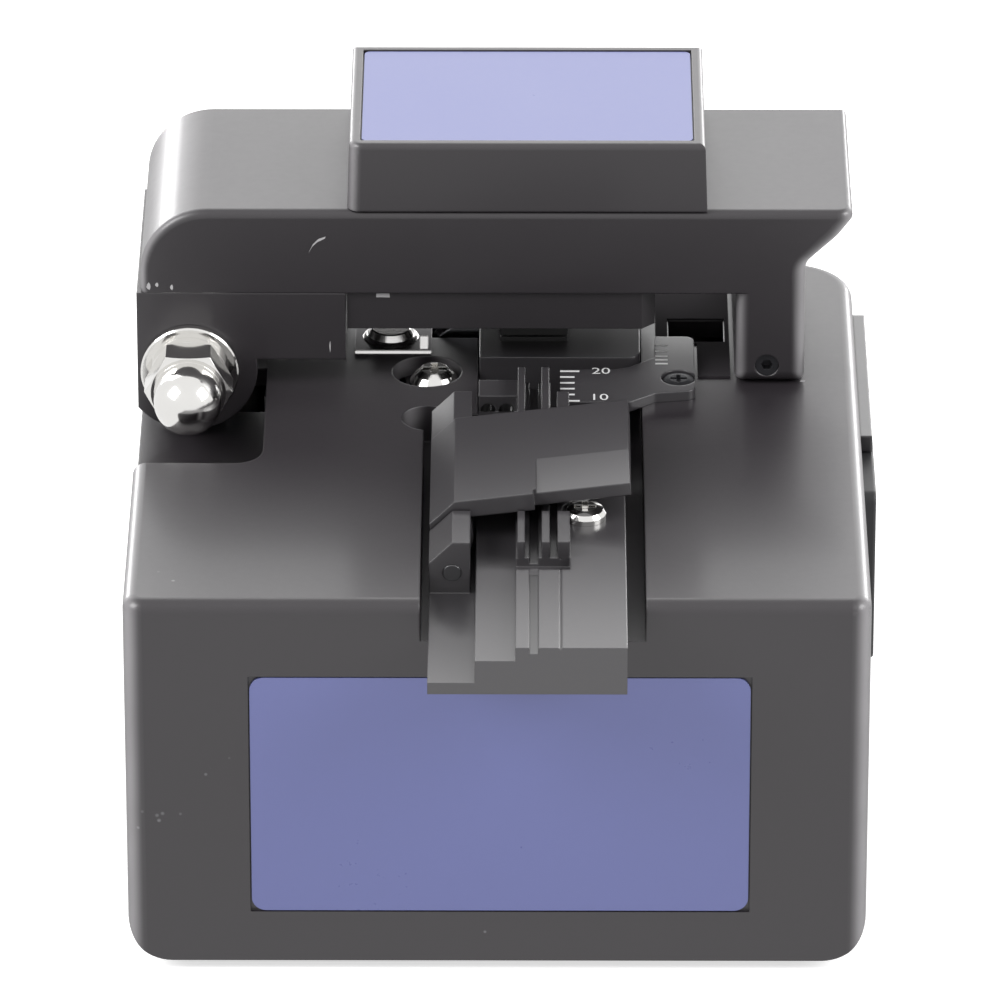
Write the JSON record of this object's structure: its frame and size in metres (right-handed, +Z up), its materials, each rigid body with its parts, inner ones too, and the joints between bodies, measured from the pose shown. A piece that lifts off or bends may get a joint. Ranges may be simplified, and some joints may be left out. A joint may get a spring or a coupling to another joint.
{
  "type": "fibre cleaver",
  "caption": "Bench-top optical fibre cleaver: square housing, fixture in a top slot with a hinged lid, and a side-hinged lever that presses the fibre while a wheel blade scores it.",
  "frame": {"origin": "centre of the housing's footprint, on the surface that the feet stand on", "axes": "+X to the user's right (the lever's free end), +Y to the rear, along the fibre, +Z up"},
  "size_m": [0.0674, 0.08, 0.0611],
  "materials": {
    "black_paint": "satin black powder coat",
    "black_steel": "matte black",
    "black_anodised": "black anodised, semi-gloss",
    "blue_label": "satin blue plate",
    "chrome_plate": "bright nickel plate",
    "bright_steel": "ground",
    "zinc_steel": "zinc plated",
    "dark_steel": "black oxide",
    "stainless": "polished stainless",
    "spring_steel": "drawn wire",
    "aluminium_bare": "machined",
    "carbide": "ground carbide",
    "ceramic_anvil": "ground",
    "pad_rubber": "smooth",
    "foot_rubber": "matte",
    "black_plastic": "moulded"
  },
  "bodies": {
    "base": {"housing": "black_paint", "bottom_plate": "black_steel", "bottom_screws": "zinc_steel", "rubber_feet": "foot_rubber", "front_plate": "blue_label", "latch_keeper": "bright_steel", "pivot_shaft": "bright_steel", "flat_washer": "chrome_plate", "spring_washer": "chrome_plate", "acorn_nut": "chrome_plate", "fixture_base": "black_anodised", "lid_hinge_pin": "dark_steel", "fixture_screw": "chrome_plate", "anvil_block": "black_anodised", "anvil_screws": "zinc_steel", "lower_pads": "pad_rubber", "slide_rail": "bright_steel", "rail_screws": "zinc_steel", "scale_plate": "black_anodised", "scale_screw": "dark_steel", "wear_plate": "stainless", "height_screw": "chrome_plate", "side_bezel": "black_paint", "bezel_screws": "dark_steel"},
    "lever": {"lever_shell": "black_paint", "pivot_block": "black_paint", "thumb_pad": "black_paint", "pad_plate": "blue_label", "latch_magnet": "bright_steel", "magnet_screw": "dark_steel", "crank_arm": "bright_steel", "drive_pin": "bright_steel", "clamp_guide": "black_anodised", "clamp_pins": "bright_steel", "clamp_springs": "spring_steel"},
    "clamp": {"clamp_holder": "black_anodised", "upper_pads": "pad_rubber", "breaking_anvil": "ceramic_anvil"},
    "fixture_lid_body": {"fixture_lid": "black_anodised", "lid_pad": "pad_rubber", "lid_magnet": "bright_steel"},
    "carriage": {"blade_carriage": "aluminium_bare", "blade_screw": "dark_steel"},
    "blade": {"blade_wheel": "carbide"},
    "drawer": {"scrap_drawer": "black_plastic", "drawer_front": "black_plastic"}
  },
  "joints": [
    {"name": "lever_hinge", "type": "hinge", "parent": "base", "child": "lever", "pos_m": [-0.0283, 0.01955, 0.0386], "axis": [0, -1, 0], "range_deg": [0, 45]},
    {"name": "clamp_press", "type": "slide", "parent": "lever", "child": "clamp", "axis": [0, 0, 1], "range_m": [0, 0.001], "stiffness_N_per_m": 800, "springref_m": -0.0006, "deforming": ["clamp_springs"]},
    {"name": "lid_hinge", "type": "hinge", "parent": "base", "child": "fixture_lid_body", "pos_m": [-0.004, -0.0133, 0.0365], "axis": [0, -1, 0], "range_deg": [0, 58]},
    {"name": "carriage_slide", "type": "slide", "parent": "base", "child": "carriage", "axis": [1, 0, 0], "range_m": [0, 0.0068]},
    {"name": "blade_index", "type": "hinge", "parent": "carriage", "child": "blade", "pos_m": [-0.00116, 0.0195, 0.0322], "axis": [0, -1, 0], "continuous": true},
    {"name": "drawer_slide", "type": "slide", "parent": "base", "child": "drawer", "axis": [1, 0, 0], "range_m": [0, 0.014]}
  ],
  "couplings": [
    {"joint": "carriage_slide", "follows": "lever_hinge", "m_per_rad": 0.008553}
  ]
}
